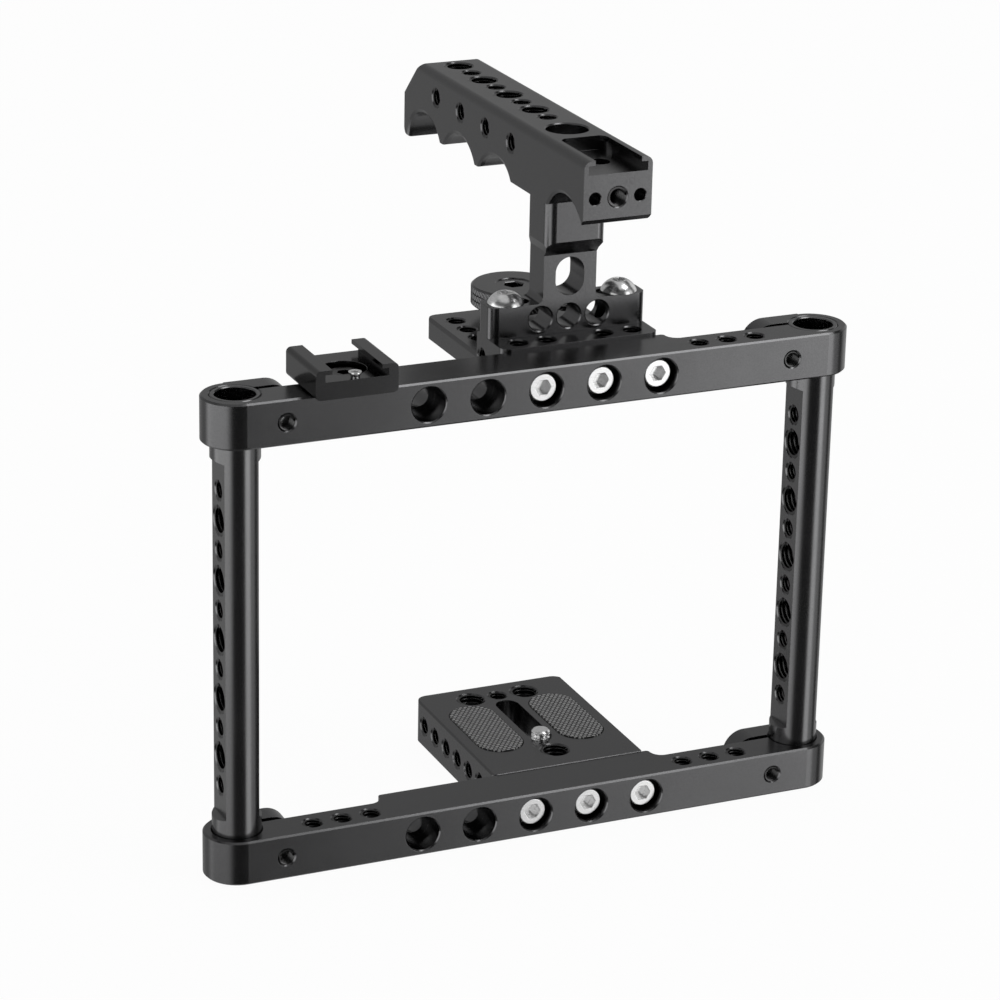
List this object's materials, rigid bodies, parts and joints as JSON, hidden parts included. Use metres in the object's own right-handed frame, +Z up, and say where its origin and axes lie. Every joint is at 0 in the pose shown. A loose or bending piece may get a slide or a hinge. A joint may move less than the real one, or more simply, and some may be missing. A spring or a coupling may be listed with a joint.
{
  "type": "camera cage",
  "caption": "Camera cage of two drilled rods and two clamped crossbars, with a base plate, a camera screw, a clamping thumbscrew, a scalloped carrying handle and accessory shoes.",
  "frame": {"origin": "underside of the lower crossbar, midway between the two rod axes", "axes": "+Z up along the rods, +X to the right as seen from the front, +Y to the back, towards the camera plates"},
  "size_m": [0.222, 0.1451, 0.2293],
  "materials": {
    "black_aluminium": "black anodised, fine satin",
    "steel": "polished stainless",
    "black_steel": "black oxide",
    "rubber": "moulded with a fine woven texture"
  },
  "bodies": {
    "frame": {"left_rod": "black_aluminium", "right_rod": "black_aluminium", "top_bar": "black_aluminium", "bottom_bar": "black_aluminium", "clamp_screws": "steel", "bottom_plate": "black_aluminium", "bottom_plate_screws": "steel", "left_grip_pad": "rubber", "right_grip_pad": "rubber", "top_plate": "black_aluminium", "top_plate_screws": "steel", "riser": "black_aluminium", "riser_screws": "steel", "handle": "black_aluminium", "handle_screw": "steel", "cold_shoe": "black_aluminium", "shoe_mount_screw": "black_steel", "shoe_stop_screw": "steel"},
    "foot": {"clamp_foot": "rubber"},
    "thumbscrew": {"thumbscrew_stud": "steel", "thumbscrew_knob": "black_aluminium"},
    "washer": {"camera_screw_washer": "steel"},
    "camera_screw": {"camera_screw": "steel"}
  },
  "joints": [
    {"name": "knob_travel", "type": "slide", "parent": "frame", "child": "foot", "axis": [0, 0, 1], "range_m": [-0.00376, 0.00626]},
    {"name": "knob_spin", "type": "hinge", "parent": "foot", "child": "thumbscrew", "pos_m": [0.02, 0.0605, 0.16], "axis": [0, 0, 1], "range_deg": [-1080, 1800]},
    {"name": "screw_slide", "type": "slide", "parent": "frame", "child": "washer", "axis": [0, 1, 0], "range_m": [0, 0.0262]},
    {"name": "screw_spin", "type": "hinge", "parent": "washer", "child": "camera_screw", "pos_m": [0.02, 0.0301, 0.008], "axis": [0, 0, 1], "continuous": true}
  ],
  "couplings": [
    {"joint": "knob_travel", "follows": "knob_spin", "m_per_rad": 0.00019894}
  ]
}
